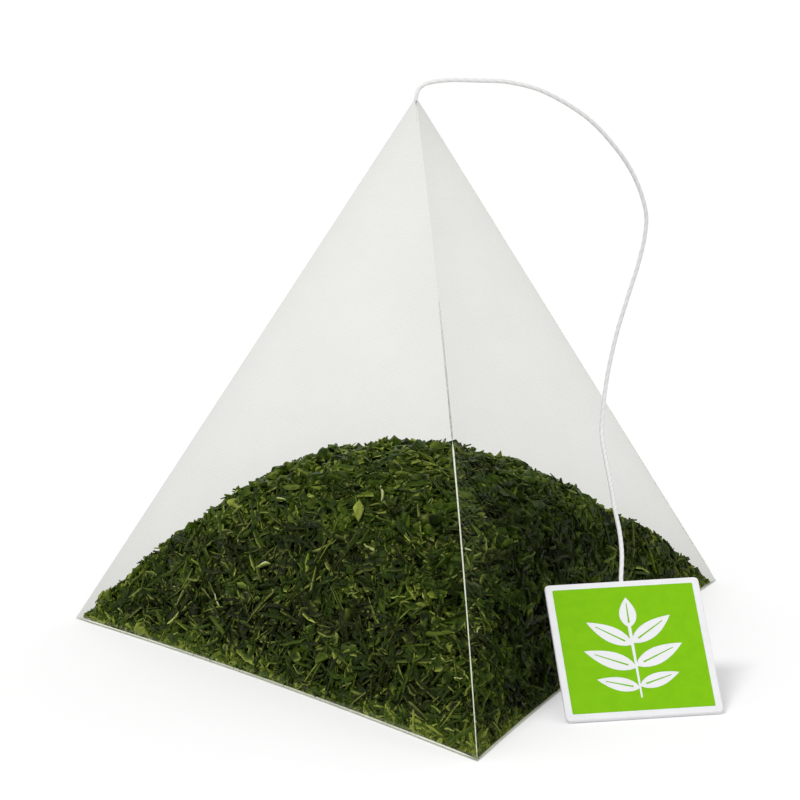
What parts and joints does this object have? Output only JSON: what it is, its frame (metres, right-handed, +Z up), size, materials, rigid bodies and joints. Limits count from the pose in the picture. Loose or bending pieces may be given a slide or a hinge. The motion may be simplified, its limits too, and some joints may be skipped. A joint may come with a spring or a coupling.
{
  "type": "pyramid tea bag",
  "caption": "Four-cornered pouch of fine woven mesh filled with whole tea leaves, with a thread welded into its tip and a small card tag on the thread's end, leaning on the pouch.",
  "frame": {"origin": "on the floor, under the middle of the pouch's three-cornered base", "axes": "+Z up through the pouch's tip; -Y towards the base's front corner; +X towards the base's right corner and the tag"},
  "size_m": [0.0621, 0.0538, 0.0521],
  "materials": {
    "mesh": "fine woven mesh, white, half see-through",
    "tea": "dry rolled leaves, dark green, matt",
    "thread": "white twisted cotton",
    "tag": "printed card, green field in a white border"
  },
  "bodies": {
    "root": {"mesh_bag": "mesh", "tea_leaves": "tea", "thread": "thread", "tag": "tag"}
  },
  "joints": []
}
